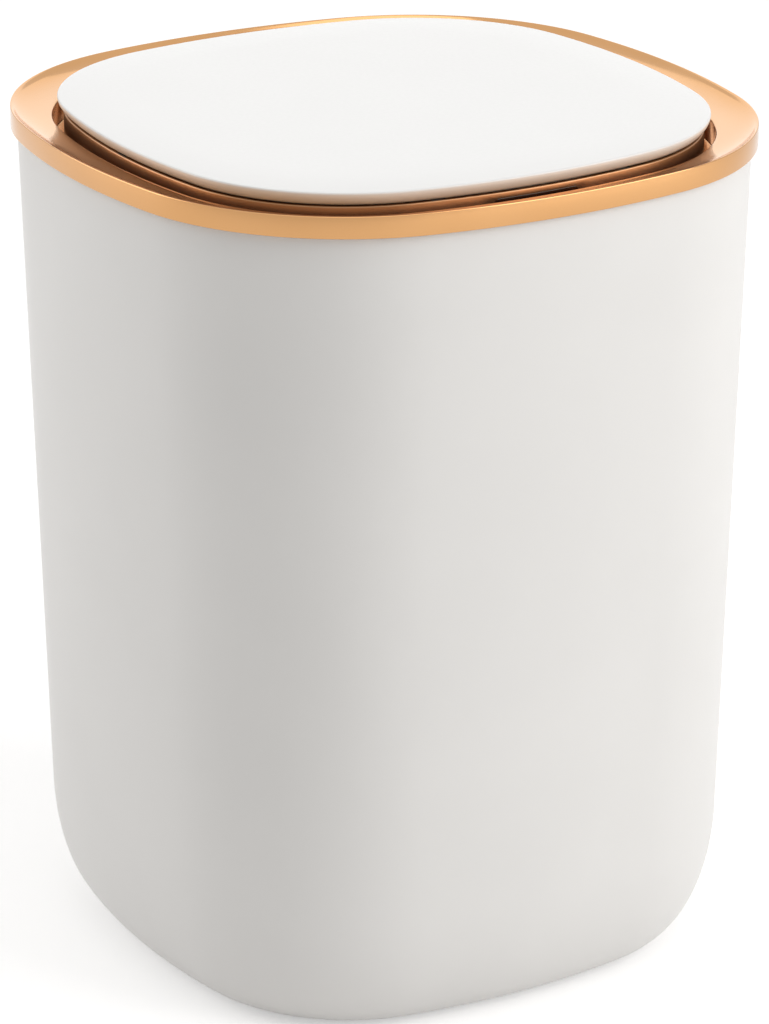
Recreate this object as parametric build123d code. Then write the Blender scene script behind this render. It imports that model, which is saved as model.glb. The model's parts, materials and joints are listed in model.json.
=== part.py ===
from build123d import *
import os
from math import acos, asin, atan2, cos, degrees, hypot, pi, radians, sin, sqrt, tan

os.makedirs("parts", exist_ok=True)

# Frame: millimetres, +Z up, front of the bin towards -Y, origin on the floor under the middle of the bin.

# Plan outline, shared by every ring, wall and plate: four bowed sides joined by four corner arcs.
ring_half = 118.0  # half the bin's width, at the gold rim
side_radius = 264.0  # bow of each side
corner_radius = 83.0  # sweep of each corner

# Heights
rim_height = 296.5  # upper outer edge of the gold rim
lid_rise = 2.9  # top of the lid above the rim edge
pad_stand = 1.0  # the pads' height under the base

# Bucket
bucket_wall = 2.4
bucket_floor = 3.0
bucket_drop = 6.0  # its top edge below the rim edge
wall_lean = 6.3  # how far each side leans in from top to bottom
base_curve_in = 22.6  # the base curve, measured inwards
base_curve_up = 45.3  # and upwards
arc_fullness = 0.552  # handle length that makes a Bezier curve follow a quarter ellipse
base_recess = 1.0
base_rim = 24.9  # width of the base's standing ring round its recess
pad_radius = 7.0
pad_thickness = 1.6
pad_inset = 31.9  # from the edge of the flat base

# Fits
seat_gap = 0.4  # between nesting curved walls
small_gap = 0.3  # between small pieces
running_gap = 0.05  # radial, at every turning shaft
press_gap = 0.03  # radial, at pieces pressed or cemented in

# Gold rim
band_height = 7.5
band_wall = 1.8
rim_wall = 1.8
rim_edge_round = 0.5
rim_top_width = 14.3  # from the band's outside to the opening
opening_drop = 4.6  # where the round lip meets the inner wall
lip_in = 0.7
lip_round = 0.7
dish_sag = 0.75
groove_drop = 12.7  # the groove's floor below the rim edge
groove_width = 3.9
collar_wall = 1.8
collar_drop = 3.0  # the collar's top below the rim edge
collar_reach = 19.0  # and its lower lip
collar_end = 8.0  # the collar stops this far in front of the hinge, where the lid swings down

# Lid
lid_gap = 1.8  # between the lid's edge and the rim's opening
lid_skin = 2.2
lid_edge_drop = 1.9  # lower edge of the lid's skirt below the rim edge
lid_edge_in = 3.2
lid_edge_round = 0.6
lid_skirt = 2.3
lid_plate = 1.6
lid_rib = 0.8
lid_rib_width = 1.2
lid_rib_end = 25.9  # from the lid's edge to the ribs' ends
lid_rib_lines = (-0.6, -0.2, 0.2, 0.6)  # places of the ribs, as shares of the lid's half width
lid_screw_line = 0.4
lid_open = 75.0  # degrees of swing

# Hinge
hinge_setback = 9.9  # the axis in front of the lid's rear edge
hinge_drop = 2.0  # and below the rim edge
shaft_radius = 1.25
shaft_half = 29.0
ear_x = 22.0
ear_width = 4.0
ear_radius = 2.9
bush_wall = 0.5
knuckle_radius = 2.4
knuckle_width = 3.4
side_play = 0.3  # between an ear and a knuckle

# Bag ring
bag_ring_top = 1.2  # thickness of its hook over the bucket's edge
bag_ring_wall = 1.5
bag_ring_depth = 20.0
shelf_drop = 9.0
shelf_wall = 1.6
shelf_width = 2.0

# Inner frame with its rear tub
frame_wall = 1.6
frame_plate = 2.0
tub_length = 35.0  # from the hinge to the tub's front
tub_wall = 2.0
tub_drop = 40.0
boss_radius = 3.0
screw_radius = 1.0
screw_head_radius = 1.9
screw_head = 1.3
deck_wall_top = 4.4  # the deck's front wall ends this far below the rim edge
deck_screw_length = 6.0  # under the deck
deck_front_screw = 28.5  # in front of the hinge
deck_rear_screw = (60.0, 12.0)  # beside the middle and in front of the hinge

# Sensor
window_length = 32.0
window_height = 3.6
window_drop = 6.0
board_thickness = 1.2
cover_half = 20.0
cover_depth = 9.0
cover_wall = 1.5
cover_top_drop = 3.2
cover_bottom_drop = 20.0
diode_radius = 1.4
diode_x = 9.0
diode_back = 1.9  # the nose's centre behind the collar's inner face
board_back = 5.2
lead_thickness = 0.8
lead_height = 2.4

# Gear train: the lid's toothed sector, two compound gears and the motor pinion.
lid_module = 0.8
lid_teeth = 30
output_teeth = 12
small_module = 0.5
output_wheel_teeth = 26
middle_pinion_teeth = 10
middle_wheel_teeth = 28
motor_teeth = 10
pressure_angle = 25.0
tooth_above = 0.8  # stub teeth: share of the module above the pitch circle
tooth_below = 1.05
backlash = 0.12
mesh_direction = 247.0  # from the hinge to the output gear
middle_direction = 204.0  # from the output gear to the middle gear
motor_direction = 192.0  # from the middle gear to the motor
sector_margin = 8.0
sector_width = 4.0
sector_x = 8.0
wheel_width = 2.4
wheel_gap = 0.7
axle_radius = 1.0
case_wall = 1.6
case_corner = 2.5
case_screw_inset = 2.9
case_screw_pitch = 13.1
case_screw_head = 1.0
case_screw_radius = 0.8
case_screw_length = 5.0
motor_radius = 6.5
motor_length = 24.0
motor_shaft_radius = 0.75

# Battery bay
cell_radius = 7.25
cell_length = 49.2
cell_pitch = 15.6
cell_end_gap = 0.8
button_height = 0.55
bay_wall = 1.2
bay_right_x = -2.4
bay_setback = 15.5  # from the hinge to the middle between the cells
hatch_thickness = 1.8
contact_thickness = 0.4
contact_half = 5.0

# Control board
board_x = (46.0, 69.5)
board_front = 30.5  # from the hinge to its front edge
board_depth = 15.0
board_drop = 22.0
board_post_inset = 2.5
board_post_radius = 2.2
board_screw_radius = 0.8
board_screw_length = 4.0
board_blocks = [  # from the board's left front corner: x, y, length, depth, height
    (7.5, 4.5, 7.0, 5.0, 1.6),
    (14.9, 2.0, 4.0, 4.0, 1.4),
    (7.0, 10.5, 8.0, 4.0, 4.5),
]
capacitor_radius = 2.5
capacitor_height = 5.0
capacitor_place = (4.0, 7.5)
lead_socket = 6.0

# Power switch
switch_x = 48.0
switch_setback = 5.0  # in front of the hinge
switch_travel = 3.0
knob_length = 5.0
knob_width = 3.0
knob_stand = 1.6

side_centre = side_radius - ring_half
corner_shift = ring_half - corner_radius
reach = side_radius - corner_radius
corner_centre = (sqrt(2 * reach ** 2 - side_centre ** 2) - side_centre) / 2
side_turn = degrees(atan2(corner_centre, corner_centre + side_centre))

body_half = ring_half - band_wall - seat_gap
bucket_top = rim_height - bucket_drop
base_z = pad_stand
base_half = body_half - wall_lean - base_curve_in
base_recess_half = base_half - base_rim
pad_place = base_half - pad_inset
opening_half = ring_half - rim_top_width
lid_half = opening_half - lid_gap
collar_half = opening_half - groove_width
collar_inner = collar_half - collar_wall
groove_z = rim_height - groove_drop
gold_floor_z = groove_z - rim_wall
collar_top = rim_height - collar_drop
tub_floor_z = rim_height - tub_drop
frame_low = gold_floor_z - frame_plate
hinge_y = lid_half - hinge_setback
hinge_z = rim_height - hinge_drop
collar_end_y = hinge_y - collar_end
tub_front_y = hinge_y - tub_length
tub_half = opening_half + small_gap
bay_middle_y = hinge_y - bay_setback
board_y = (hinge_y - board_front, hinge_y - board_front + board_depth)
switch_y = hinge_y - switch_setback
deck_front_x = board_x[1] + boss_radius + 5 * small_gap
deck_screw_places = [(deck_front_x, hinge_y - deck_front_screw),
                     (deck_rear_screw[0], hinge_y - deck_rear_screw[1])]
lid_low = rim_height - lid_edge_drop
lid_top_z = rim_height + lid_rise
skin_low = lid_top_z - lid_skin
window_z = rim_height - window_drop
hook_z = bucket_top + bag_ring_top
bag_wall_outer = body_half - bucket_wall - seat_gap
bag_wall_inner = bag_wall_outer - bag_ring_wall
shelf_z = rim_height - shelf_drop


def outline_face(half, z=0.0):
    """The bin's plan outline at a half width, as a flat face at height z."""
    inset = ring_half - half
    side = CenterArc((-side_centre, 0), side_radius - inset, -side_turn, 2 * side_turn)
    corner = CenterArc((corner_centre, corner_centre), corner_radius - inset, side_turn, 90 - 2 * side_turn)
    edges = []
    for turn in (0, 90, 180, 270):
        edges += [edge.rotate(Axis.Z, turn) for edge in (side.edge(), corner.edge())]
    return Pos(0, 0, z) * Face(Wire(edges))


def plate(half, low, high):
    """A flat plate with the bin's outline, from height low to height high."""
    return extrude(outline_face(half, low), high - low, dir=(0, 0, 1))


def hoop(section):
    """A section, drawn with X as half width and Z as height, carried once round the bin's outline."""
    side = revolve(Pos(side_centre, 0, 0) * section, Axis.Z, 2 * side_turn)
    side = Pos(-side_centre, 0, 0) * Rot(0, 0, -side_turn) * side
    corner = revolve(Pos(-corner_shift, 0, 0) * section, Axis.Z, 90 - 2 * side_turn)
    corner = Pos(corner_centre, corner_centre, 0) * Rot(0, 0, side_turn) * corner
    pieces = [Rot(0, 0, turn) * piece for turn in (0, 90, 180, 270) for piece in (side, corner)]
    return Part() + pieces


def section_of(points):
    """A straight-sided section from (half width, height) pairs."""
    return Face(Wire.make_polygon([(half, 0, z) for half, z in points], close=True))


def span(x0, x1, y0, y1, z0, z1):
    """A block between two corners."""
    centre = ((x0 + x1) / 2, (y0 + y1) / 2, (z0 + z1) / 2)
    return Pos(*centre) * Box(x1 - x0, y1 - y0, z1 - z0)


def rod_x(radius, x0, x1, y, z):
    """A round bar along X."""
    return Pos((x0 + x1) / 2, y, z) * Rot(0, 90, 0) * Cylinder(radius, x1 - x0)


def rod_y(radius, y0, y1, x, z):
    """A round bar along Y."""
    return Pos(x, (y0 + y1) / 2, z) * Rot(90, 0, 0) * Cylinder(radius, y1 - y0)


def rod_z(radius, z0, z1, x, y):
    """A round bar along Z."""
    return Pos(x, y, (z0 + z1) / 2) * Cylinder(radius, z1 - z0)


def outline_point(half, direction):
    """The point of the outline at a half width, seen from the axis in a direction in degrees."""
    quarter = (direction + 45) % 90 - 45
    side = half + side_centre
    from_side = degrees(asin(side_centre * sin(radians(abs(quarter))) / side))
    if abs(quarter) + from_side > 90 or abs(quarter) - from_side <= side_turn:
        lean = abs(quarter) - from_side
        distance = hypot(side * cos(radians(lean)) - side_centre, side * sin(radians(lean)))
    else:
        middle = corner_centre * sqrt(2)
        swing = radians(45 - abs(quarter))
        bend = half - corner_shift
        distance = middle * cos(swing) + sqrt(bend ** 2 - (middle * sin(swing)) ** 2)
    return distance * cos(radians(direction)), distance * sin(radians(direction))


def bucket_section():
    """Half of the bucket's wall and base curve, to where the flat floor begins."""
    lean_end = body_half - wall_lean
    curve_top = base_z + base_curve_up
    lean = Vector(-wall_lean, 0, curve_top - bucket_top).normalized()
    inner_top = Vector(body_half - bucket_wall, 0, bucket_top)
    inner_end = Vector(lean_end - bucket_wall, 0, curve_top)
    floor_in = base_half - 6
    outer_up = Vector(lean_end, 0, curve_top)
    outer_down = Vector(base_half, 0, base_z)
    inner_down = Vector(base_half, 0, base_z + bucket_floor)
    across = Vector(arc_fullness * base_curve_in, 0, 0)
    inner_across = Vector(arc_fullness * (base_curve_in - bucket_wall), 0, 0)
    down = lean * arc_fullness * base_curve_up
    inner_down_handle = lean * arc_fullness * (base_curve_up - bucket_floor)
    edges = [
        Line((body_half, 0, bucket_top), outer_up),
        Bezier(outer_up, outer_up + down, outer_down + across, outer_down),
        Line(outer_down, (floor_in, 0, base_z)),
        Line((floor_in, 0, base_z), (floor_in, 0, base_z + bucket_floor)),
        Line((floor_in, 0, base_z + bucket_floor), inner_down),
        Bezier(inner_down, inner_down + inner_across, inner_end + inner_down_handle, inner_end),
        Line(inner_end, inner_top),
        Line(inner_top, (body_half, 0, bucket_top)),
    ]
    return Face(Wire([edge.edge() for edge in edges]))


def pad_places():
    return [(x * pad_place, y * pad_place) for x in (-1, 1) for y in (-1, 1)]


def bucket():
    """Open moulded bucket: leaning bowed walls, a large base curve and a recessed underside."""
    body = hoop(bucket_section()) + plate(base_half - 3, base_z, base_z + bucket_floor)
    body -= plate(base_recess_half, base_z, base_z + base_recess)
    for x, y in pad_places():
        body -= rod_z(pad_radius + press_gap, base_z, pad_thickness, x, y)
    return body


def foot_pads():
    """Four round pads cemented into pockets under the base."""
    pads = []
    for x, y in pad_places():
        pad = rod_z(pad_radius, 0, pad_thickness, x, y)
        pads.append(chamfer(pad.edges().group_by(Axis.Z)[0], 0.4))
    return Compound(pads)


def bag_ring():
    """Hoop that hooks over the bucket's edge, holds the bag and carries the head on a shelf."""
    taper = wall_lean / (bucket_top - base_z - base_curve_up)
    low = bucket_top - bag_ring_depth
    lean = bag_ring_depth * taper
    wall_outer = bag_wall_outer
    wall_inner = bag_wall_inner
    return hoop(section_of([
        (body_half, bucket_top),
        (body_half, hook_z),
        (wall_inner, hook_z),
        (wall_inner, shelf_z),
        (wall_inner - shelf_width, shelf_z),
        (wall_inner - shelf_width, shelf_z - shelf_wall),
        (wall_inner - shelf_wall * taper, shelf_z - shelf_wall),
        (wall_inner - lean, low),
        (wall_outer - lean, low),
        (wall_outer, bucket_top),
    ]))


def rim_section():
    """Outer band, dished top, round lip, groove and the collar that stands inside it."""
    top = rim_height
    lip_z = top - opening_drop + lip_round
    dish_start = (ring_half - rim_edge_round, top)
    dish_end = (opening_half + lip_in, lip_z)
    dish_mid = ((dish_start[0] + dish_end[0]) / 2, (dish_start[1] + dish_end[1]) / 2 - dish_sag)
    under_start = (opening_half + rim_wall, lip_z - rim_wall)
    under_end = (ring_half - band_wall, top - rim_wall - rim_edge_round)
    under_mid = (dish_mid[0], dish_mid[1] - rim_wall)
    collar_low = top - collar_reach
    corners = [
        (ring_half, top - band_height),
        (ring_half, top - rim_edge_round),
        dish_start,
        ("arc", dish_mid, dish_end),
        ("arc", (opening_half + 0.2, lip_z - 0.2), (opening_half, top - opening_drop)),
        (opening_half, groove_z),
        (collar_half, groove_z),
        (collar_half, collar_top - 0.4),
        (collar_half - 0.4, collar_top),
        (collar_inner + 0.4, collar_top),
        (collar_inner, collar_top - 0.4),
        (collar_inner, collar_low),
        (collar_half, collar_low),
        (collar_half, gold_floor_z),
        (opening_half + rim_wall, gold_floor_z),
        under_start,
        ("arc", under_mid, under_end),
        (ring_half - band_wall, top - band_height),
        (ring_half, top - band_height),
    ]
    edges = []
    here = corners[0]
    for step in corners[1:]:
        if step[0] == "arc":
            middle, there = step[1], step[2]
            arc = ThreePointArc((here[0], 0, here[1]), (middle[0], 0, middle[1]), (there[0], 0, there[1]))
            edges.append(arc.edge())
        else:
            there = step
            edges.append(Line((here[0], 0, here[1]), (there[0], 0, there[1])).edge())
        here = there
    return Face(Wire(edges))


def window_prism(grow, y0, y1):
    """The sensor window's long round-ended shape, as a prism along Y."""
    shape = SlotOverall(window_length + 2 * grow, window_height + 2 * grow)
    return Pos(0, y1, window_z) * extrude(Plane.XZ * shape, y1 - y0)


def rim_screw_places():
    """Where the frame is screwed to the gold rim from below."""
    middle = (collar_half + opening_half) / 2
    return [outline_point(middle, direction) for direction in (0, 180, 225, 315, 249, 291)]


def gold_rim():
    """Plated rim: one moulding with the band, dished top, groove and collar."""
    rim = hoop(rim_section())
    groove_air = plate(opening_half - 1, groove_z, collar_top + 1)
    rim -= groove_air & span(-ring_half, ring_half, collar_end_y, ring_half, groove_z, collar_top + 1)
    rim -= span(-ring_half, ring_half, tub_front_y - seat_gap, collar_half + 0.2,
                rim_height - collar_reach, gold_floor_z)
    rim -= window_prism(press_gap, -collar_half - 1, -collar_inner + 3)
    rim -= sector_slot()
    for x, y in rim_screw_places():
        rim -= rod_z(screw_radius, gold_floor_z, gold_floor_z + 1.3, x, y)
    return rim


def sensor_window():
    """Dark infrared window, flush in the collar's front wall."""
    band = plate(collar_half + 0.15, window_z - window_height, window_z + window_height)
    band -= plate(collar_inner, window_z - window_height, window_z + window_height)
    return band & window_prism(0, -collar_half - 1, -collar_inner + 3)


def inner_frame():
    """White frame under the rim: outer flange, channel, tub for the drive, and bosses."""
    flange_out = bag_wall_inner - seat_gap
    wall_in = opening_half + rim_wall + seat_gap
    wall_out = wall_in + frame_wall
    frame = hoop(section_of([
        (flange_out, shelf_z),
        (flange_out, shelf_z + frame_wall),
        (wall_in, shelf_z + frame_wall),
        (wall_in, gold_floor_z),
        (collar_half + small_gap, gold_floor_z),
        (collar_half + small_gap, frame_low),
        (wall_out, frame_low),
        (wall_out, shelf_z),
    ]))
    rear = span(-ring_half, ring_half, tub_front_y, ring_half, tub_floor_z, gold_floor_z)
    room = span(-ring_half, ring_half, tub_front_y + tub_wall, ring_half, tub_floor_z + tub_wall,
                gold_floor_z)
    tub = (plate(tub_half, tub_floor_z, gold_floor_z) & rear)
    tub -= plate(tub_half - tub_wall, tub_floor_z + tub_wall, gold_floor_z) & room
    for x, y in deck_screw_places:
        for sign in (-1, 1):
            tub += rod_z(boss_radius, tub_floor_z + tub_wall / 2, gold_floor_z, sign * x, y)
    frame += tub
    frame += bay_walls() + board_posts() + gearbox_posts()
    frame -= hatch_shape(seat_gap, tub_floor_z - 1, tub_floor_z + tub_wall + 1)
    for x, y in deck_screw_places:
        for sign in (-1, 1):
            low = gold_floor_z - deck_screw_length - 1
            frame -= rod_z(screw_radius + press_gap, low, gold_floor_z, sign * x, y)
    for x, y in rim_screw_places():
        frame -= rod_z(screw_radius + press_gap, frame_low, gold_floor_z, x, y)
    frame -= lead_notch()
    frame -= sector_slot()
    return frame


def rim_screws():
    """Screws from below that hold the gold rim in the frame."""
    screws = []
    for x, y in rim_screw_places():
        screw = rod_z(screw_head_radius, frame_low - screw_head, frame_low, x, y)
        screws.append(screw + rod_z(screw_radius, frame_low - 0.2, gold_floor_z + 1.2, x, y))
    return Compound(screws)


def hinge_ear(x):
    """Upright ear that stands on the deck and holds a hinge bush."""
    profile = Pos(hinge_y, hinge_z) * Circle(ear_radius)
    foot = Polygon((hinge_y - 6, groove_z - 0.5), (hinge_y, groove_z - 0.5), (hinge_y, hinge_z),
                   (hinge_y - ear_radius, hinge_z), align=None)
    shape = Plane.YZ * (profile + foot)
    return Pos(x - ear_width / 2, 0, 0) * extrude(shape, ear_width)


def housing_deck():
    """Deck over the tub, with the hinge ears and a front wall that closes the drive off."""
    deck = plate(collar_inner - small_gap, gold_floor_z, groove_z)
    deck &= span(-ring_half, ring_half, tub_front_y, ring_half, gold_floor_z, groove_z)
    wall_top = rim_height - deck_wall_top
    wall = plate(collar_inner - small_gap, groove_z - 0.5, wall_top)
    deck += wall & span(-ring_half, ring_half, tub_front_y, tub_front_y + tub_wall, groove_z - 0.5, wall_top)
    for sign in (-1, 1):
        deck += hinge_ear(sign * ear_x)
    for sign in (-1, 1):
        deck -= rod_x(shaft_radius + running_gap + bush_wall + press_gap, sign * ear_x - 5, sign * ear_x + 5,
                      hinge_y, hinge_z)
        for x, y in deck_screw_places:
            deck -= rod_z(screw_radius + press_gap, gold_floor_z, groove_z, sign * x, y)
    deck -= span(case_x0 - small_gap, cover_x1 + case_screw_head + small_gap, case_y0 - small_gap,
                 case_y1 + small_gap, gold_floor_z - 1, groove_z + 1)
    deck -= sector_slot()
    slot_half = (knob_length + switch_travel) / 2 + small_gap
    middle = switch_x + switch_travel / 2
    deck -= span(middle - slot_half, middle + slot_half, switch_y - knob_width / 2 - small_gap,
                 switch_y + knob_width / 2 + small_gap, gold_floor_z - 1, groove_z + 1)
    return deck


def deck_screws():
    """Screws that hold the deck on the tub's bosses."""
    screws = []
    low = gold_floor_z - deck_screw_length
    for x, y in deck_screw_places:
        for sign in (-1, 1):
            screw = rod_z(screw_head_radius, groove_z, groove_z + screw_head, sign * x, y)
            screws.append(screw + rod_z(screw_radius, low, groove_z, sign * x, y))
    return Compound(screws)


def hinge_bushes():
    """Thin bushes pressed into the ears."""
    inner = shaft_radius + running_gap
    bushes = []
    for sign in (-1, 1):
        low, high = sign * ear_x - ear_width / 2, sign * ear_x + ear_width / 2
        bush = rod_x(inner + bush_wall, low, high, hinge_y, hinge_z)
        bushes.append(bush - rod_x(inner, low - 1, high + 1, hinge_y, hinge_z))
    return Compound(bushes)


def knuckle_spans():
    """X ranges of the lid's knuckles, one each side of both ears."""
    edge = ear_width / 2 + side_play
    spans = []
    for sign in (-1, 1):
        for side in (-1, 1):
            near = sign * ear_x + side * edge
            far = near + side * knuckle_width
            spans.append((min(near, far), max(near, far)))
    return spans


def lid_screw_places():
    place = lid_screw_line * lid_half
    return [(x * place, y * place) for x in (-1, 1) for y in (-1, 1)]


def lid_top():
    """White lid shell: flat skin, edge that curves in to a skirt, ribs and screw bosses below."""
    top = lid_top_z
    shoulder = (lid_half, top - lid_edge_round)
    foot = (lid_half - lid_edge_in, lid_low)
    belly = ((shoulder[0] + foot[0]) / 2 + 0.75, (shoulder[1] + foot[1]) / 2)
    inner = foot[0] - lid_skirt
    cut = 0.3 * lid_edge_round
    points = [(inner, lid_low), foot, belly, shoulder, (lid_half - cut, top - cut),
              (lid_half - lid_edge_round, top), (inner, top)]
    foot, belly, shoulder, bend, rim_edge = [(half, 0, z) for half, z in points[1:6]]
    edges = [
        Line((inner, 0, lid_low), foot),
        ThreePointArc(foot, belly, shoulder),
        ThreePointArc(shoulder, bend, rim_edge),
        Line(rim_edge, (inner, 0, top)),
        Line((inner, 0, top), (inner, 0, lid_low)),
    ]
    lid = hoop(Face(Wire([edge.edge() for edge in edges]))) + plate(inner + 0.5, skin_low, top)
    rib_low = skin_low - lid_rib
    end = lid_half - lid_rib_end
    half = lid_rib_width / 2
    for line in lid_rib_lines:
        place = line * lid_half
        lid += span(place - half, place + half, -end, end, rib_low, skin_low + 0.2)
        lid += span(-end, end, place - half, place + half, rib_low, skin_low + 0.2)
    for x, y in lid_screw_places():
        lid += rod_z(boss_radius, rib_low, skin_low + 0.2, x, y)
        lid -= rod_z(screw_radius + press_gap, rib_low, skin_low + 0.9, x, y)
    for sign in (-1, 1):
        half = ear_width / 2 + side_play
        lid -= rod_x(ear_radius + seat_gap, sign * ear_x - half, sign * ear_x + half, hinge_y, hinge_z)
    return lid


def lid_underside():
    """Lower plate of the lid with the arms and knuckles that hold the hinge shaft."""
    plate_high = lid_low + lid_plate
    rear_y = hinge_y - 3.6
    under = plate(lid_half - lid_edge_in - lid_skirt - seat_gap, lid_low, plate_high)
    under &= span(-ring_half, ring_half, -ring_half, rear_y, lid_low, plate_high)
    for low, high in knuckle_spans():
        under += span(low, high, rear_y - 12, hinge_y, hinge_z - knuckle_radius, plate_high)
        under += rod_x(knuckle_radius, low, high, hinge_y, hinge_z)
    for sign in (-1, 1):
        half = ear_width / 2 + side_play
        under -= span(sign * ear_x - half, sign * ear_x + half, hinge_y - 8, ring_half,
                      hinge_z - 4, plate_high + 4)
    for x, y in lid_screw_places():
        under -= rod_z(screw_radius + press_gap, lid_low, plate_high, x, y)
        under -= Pos(x, y, lid_low + 0.4) * Cone(screw_head_radius + press_gap, screw_radius + press_gap, 0.8)
    under -= rod_x(shaft_radius + press_gap, -shaft_half - 1, shaft_half + 1, hinge_y, hinge_z)
    return under


def lid_screws():
    """Countersunk screws that hold the lower plate to the lid."""
    screws = []
    for x, y in lid_screw_places():
        head = Pos(x, y, lid_low + 0.4) * Cone(screw_head_radius, screw_radius, 0.8)
        screws.append(head + rod_z(screw_radius, lid_low + 0.5, skin_low + 0.8, x, y))
    return Compound(screws)


def hinge_shaft():
    """Steel shaft fixed in the lid's knuckles."""
    return rod_x(shaft_radius, -shaft_half, shaft_half, hinge_y, hinge_z)


def lid_bumpers():
    """Soft stops on the collar's top that the closed lid comes down on."""
    top = lid_low - 0.2
    bumpers = []
    for direction in (0, 180, 250, 290):
        x, y = outline_point(collar_half - 0.9, direction)
        along = 5.0
        if abs(x) > abs(y):
            block = span(x - 0.4, x + 0.4, y - along / 2, y + along / 2, collar_top, top)
        else:
            block = span(x - along / 2, x + along / 2, y - 0.3, y + 0.3, collar_top, top)
        bumpers.append(block)
    return Compound(bumpers)


def sensor_cover():
    """White housing behind the window, inside the collar."""
    back = -collar_inner + cover_depth
    top, low = rim_height - cover_top_drop, rim_height - cover_bottom_drop
    box = plate(collar_inner - small_gap, low, top)
    box &= span(-cover_half, cover_half, -ring_half, back, low, top)
    box -= span(-cover_half + cover_wall, cover_half - cover_wall, -ring_half, back - cover_wall,
                low + cover_wall, top - 1.0)
    box -= span(cover_half - cover_wall - 1, cover_half + 1, -ring_half, -collar_inner + 4,
                low + cover_wall, low + cover_wall + lead_height + 2 * small_gap)
    return box


def sensor_board():
    """Circuit board that carries the two infrared diodes and the indicator lamp."""
    front = -collar_inner + board_back
    half = cover_half - cover_wall - small_gap
    low = rim_height - cover_bottom_drop + cover_wall + small_gap
    return span(-half, half, front, front + board_thickness, low, rim_height - cover_top_drop - 1.4)


def diode(x):
    """Round-nosed diode that looks through the window."""
    nose = -collar_inner + diode_back
    body = rod_y(diode_radius, nose, -collar_inner + board_back, x, window_z)
    return body + Pos(x, nose, window_z) * Sphere(diode_radius)


def lead_section(grow):
    inner = collar_inner - small_gap - lead_thickness
    low = rim_height - cover_bottom_drop + cover_wall + small_gap
    return section_of([
        (inner - grow, low - grow),
        (inner + lead_thickness + grow, low - grow),
        (inner + lead_thickness + grow, low + lead_height + grow),
        (inner - grow, low + lead_height + grow),
    ])


def sensor_lead():
    """Flat lead from the sensor board round the collar to the control board."""
    return hoop(lead_section(0)) & span(cover_half - 1, ring_half, -ring_half, board_y[1] - 8, 0, rim_height)


def lead_notch():
    return hoop(lead_section(small_gap)) & span(0, ring_half, tub_front_y - 2, tub_front_y + tub_wall + 1,
                                                0, rim_height)


def involute(angle):
    return tan(angle) - angle


def gear_face(module, teeth, phase, play=backlash):
    """Outline of a spur gear with stub involute teeth; phase is the direction of one tooth, in degrees."""
    pitch = module * teeth / 2
    base = pitch * cos(radians(pressure_angle))
    root = pitch - tooth_below * module
    tip = pitch + tooth_above * module
    half_tooth = (pi / 2 - play / module) / teeth

    def half_angle(radius):
        flank = acos(base / max(radius, base))
        return degrees(half_tooth + involute(radians(pressure_angle)) - involute(flank))

    def point(radius, angle):
        return radius * cos(radians(angle)), radius * sin(radians(angle))

    edges = []
    for tooth in range(teeth):
        middle = phase + 360 * tooth / teeth
        following = middle + 360 / teeth
        rise = [point(radius, middle - half_angle(radius)) for radius in (root, pitch, tip)]
        fall = [point(radius, middle + half_angle(radius)) for radius in (tip, pitch, root)]
        edges.append(ThreePointArc(*rise).edge())
        edges.append(Line(rise[2], fall[0]).edge())
        edges.append(ThreePointArc(*fall).edge())
        edges.append(Line(fall[2], point(root, following - half_angle(root))).edge())
    return Face(Wire(edges))


def gear(module, teeth, phase, centre, x0, width):
    """A spur gear whose axis runs along X through a (y, z) centre."""
    face = Plane.YZ * gear_face(module, teeth, phase)
    return Pos(x0, centre[0], centre[1]) * extrude(face, width)


def meshed_phase(teeth, phase, other_teeth, direction):
    """Phase of a gear that meshes with another one lying towards it in a direction."""
    offset = (direction - phase) * teeth / 360
    return direction + 180 - (0.5 - offset) * 360 / other_teeth


def step(centre, distance, direction):
    return centre[0] + distance * cos(radians(direction)), centre[1] + distance * sin(radians(direction))


lid_phase = mesh_direction
hinge_centre = (hinge_y, hinge_z)
output_centre = step(hinge_centre, lid_module * (lid_teeth + output_teeth) / 2, mesh_direction)
output_phase = meshed_phase(lid_teeth, lid_phase, output_teeth, mesh_direction)
middle_centre = step(output_centre, small_module * (output_wheel_teeth + middle_pinion_teeth) / 2,
                     middle_direction)
middle_phase = meshed_phase(output_wheel_teeth, output_phase, middle_pinion_teeth, middle_direction)
motor_centre = step(middle_centre, small_module * (middle_wheel_teeth + motor_teeth) / 2, motor_direction)
motor_phase = meshed_phase(middle_wheel_teeth, middle_phase, motor_teeth, motor_direction)

output_x = sector_x - sector_width / 2 - 0.3
output_width = sector_width + 0.6
first_plane = output_x + output_width + 0.3
second_plane = first_plane + wheel_width + wheel_gap
case_x0 = output_x - 0.6 - case_wall
case_x1 = second_plane + wheel_width + 0.8
cover_x1 = case_x1 + case_wall
case_y0 = motor_centre[0] - motor_radius
case_y1 = output_centre[0] + small_module * output_wheel_teeth / 2 + 3.2
case_z0 = middle_centre[1] - small_module * middle_wheel_teeth / 2 - 2.6
case_z1 = output_centre[1] + small_module * output_wheel_teeth / 2 + 2.6


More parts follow.
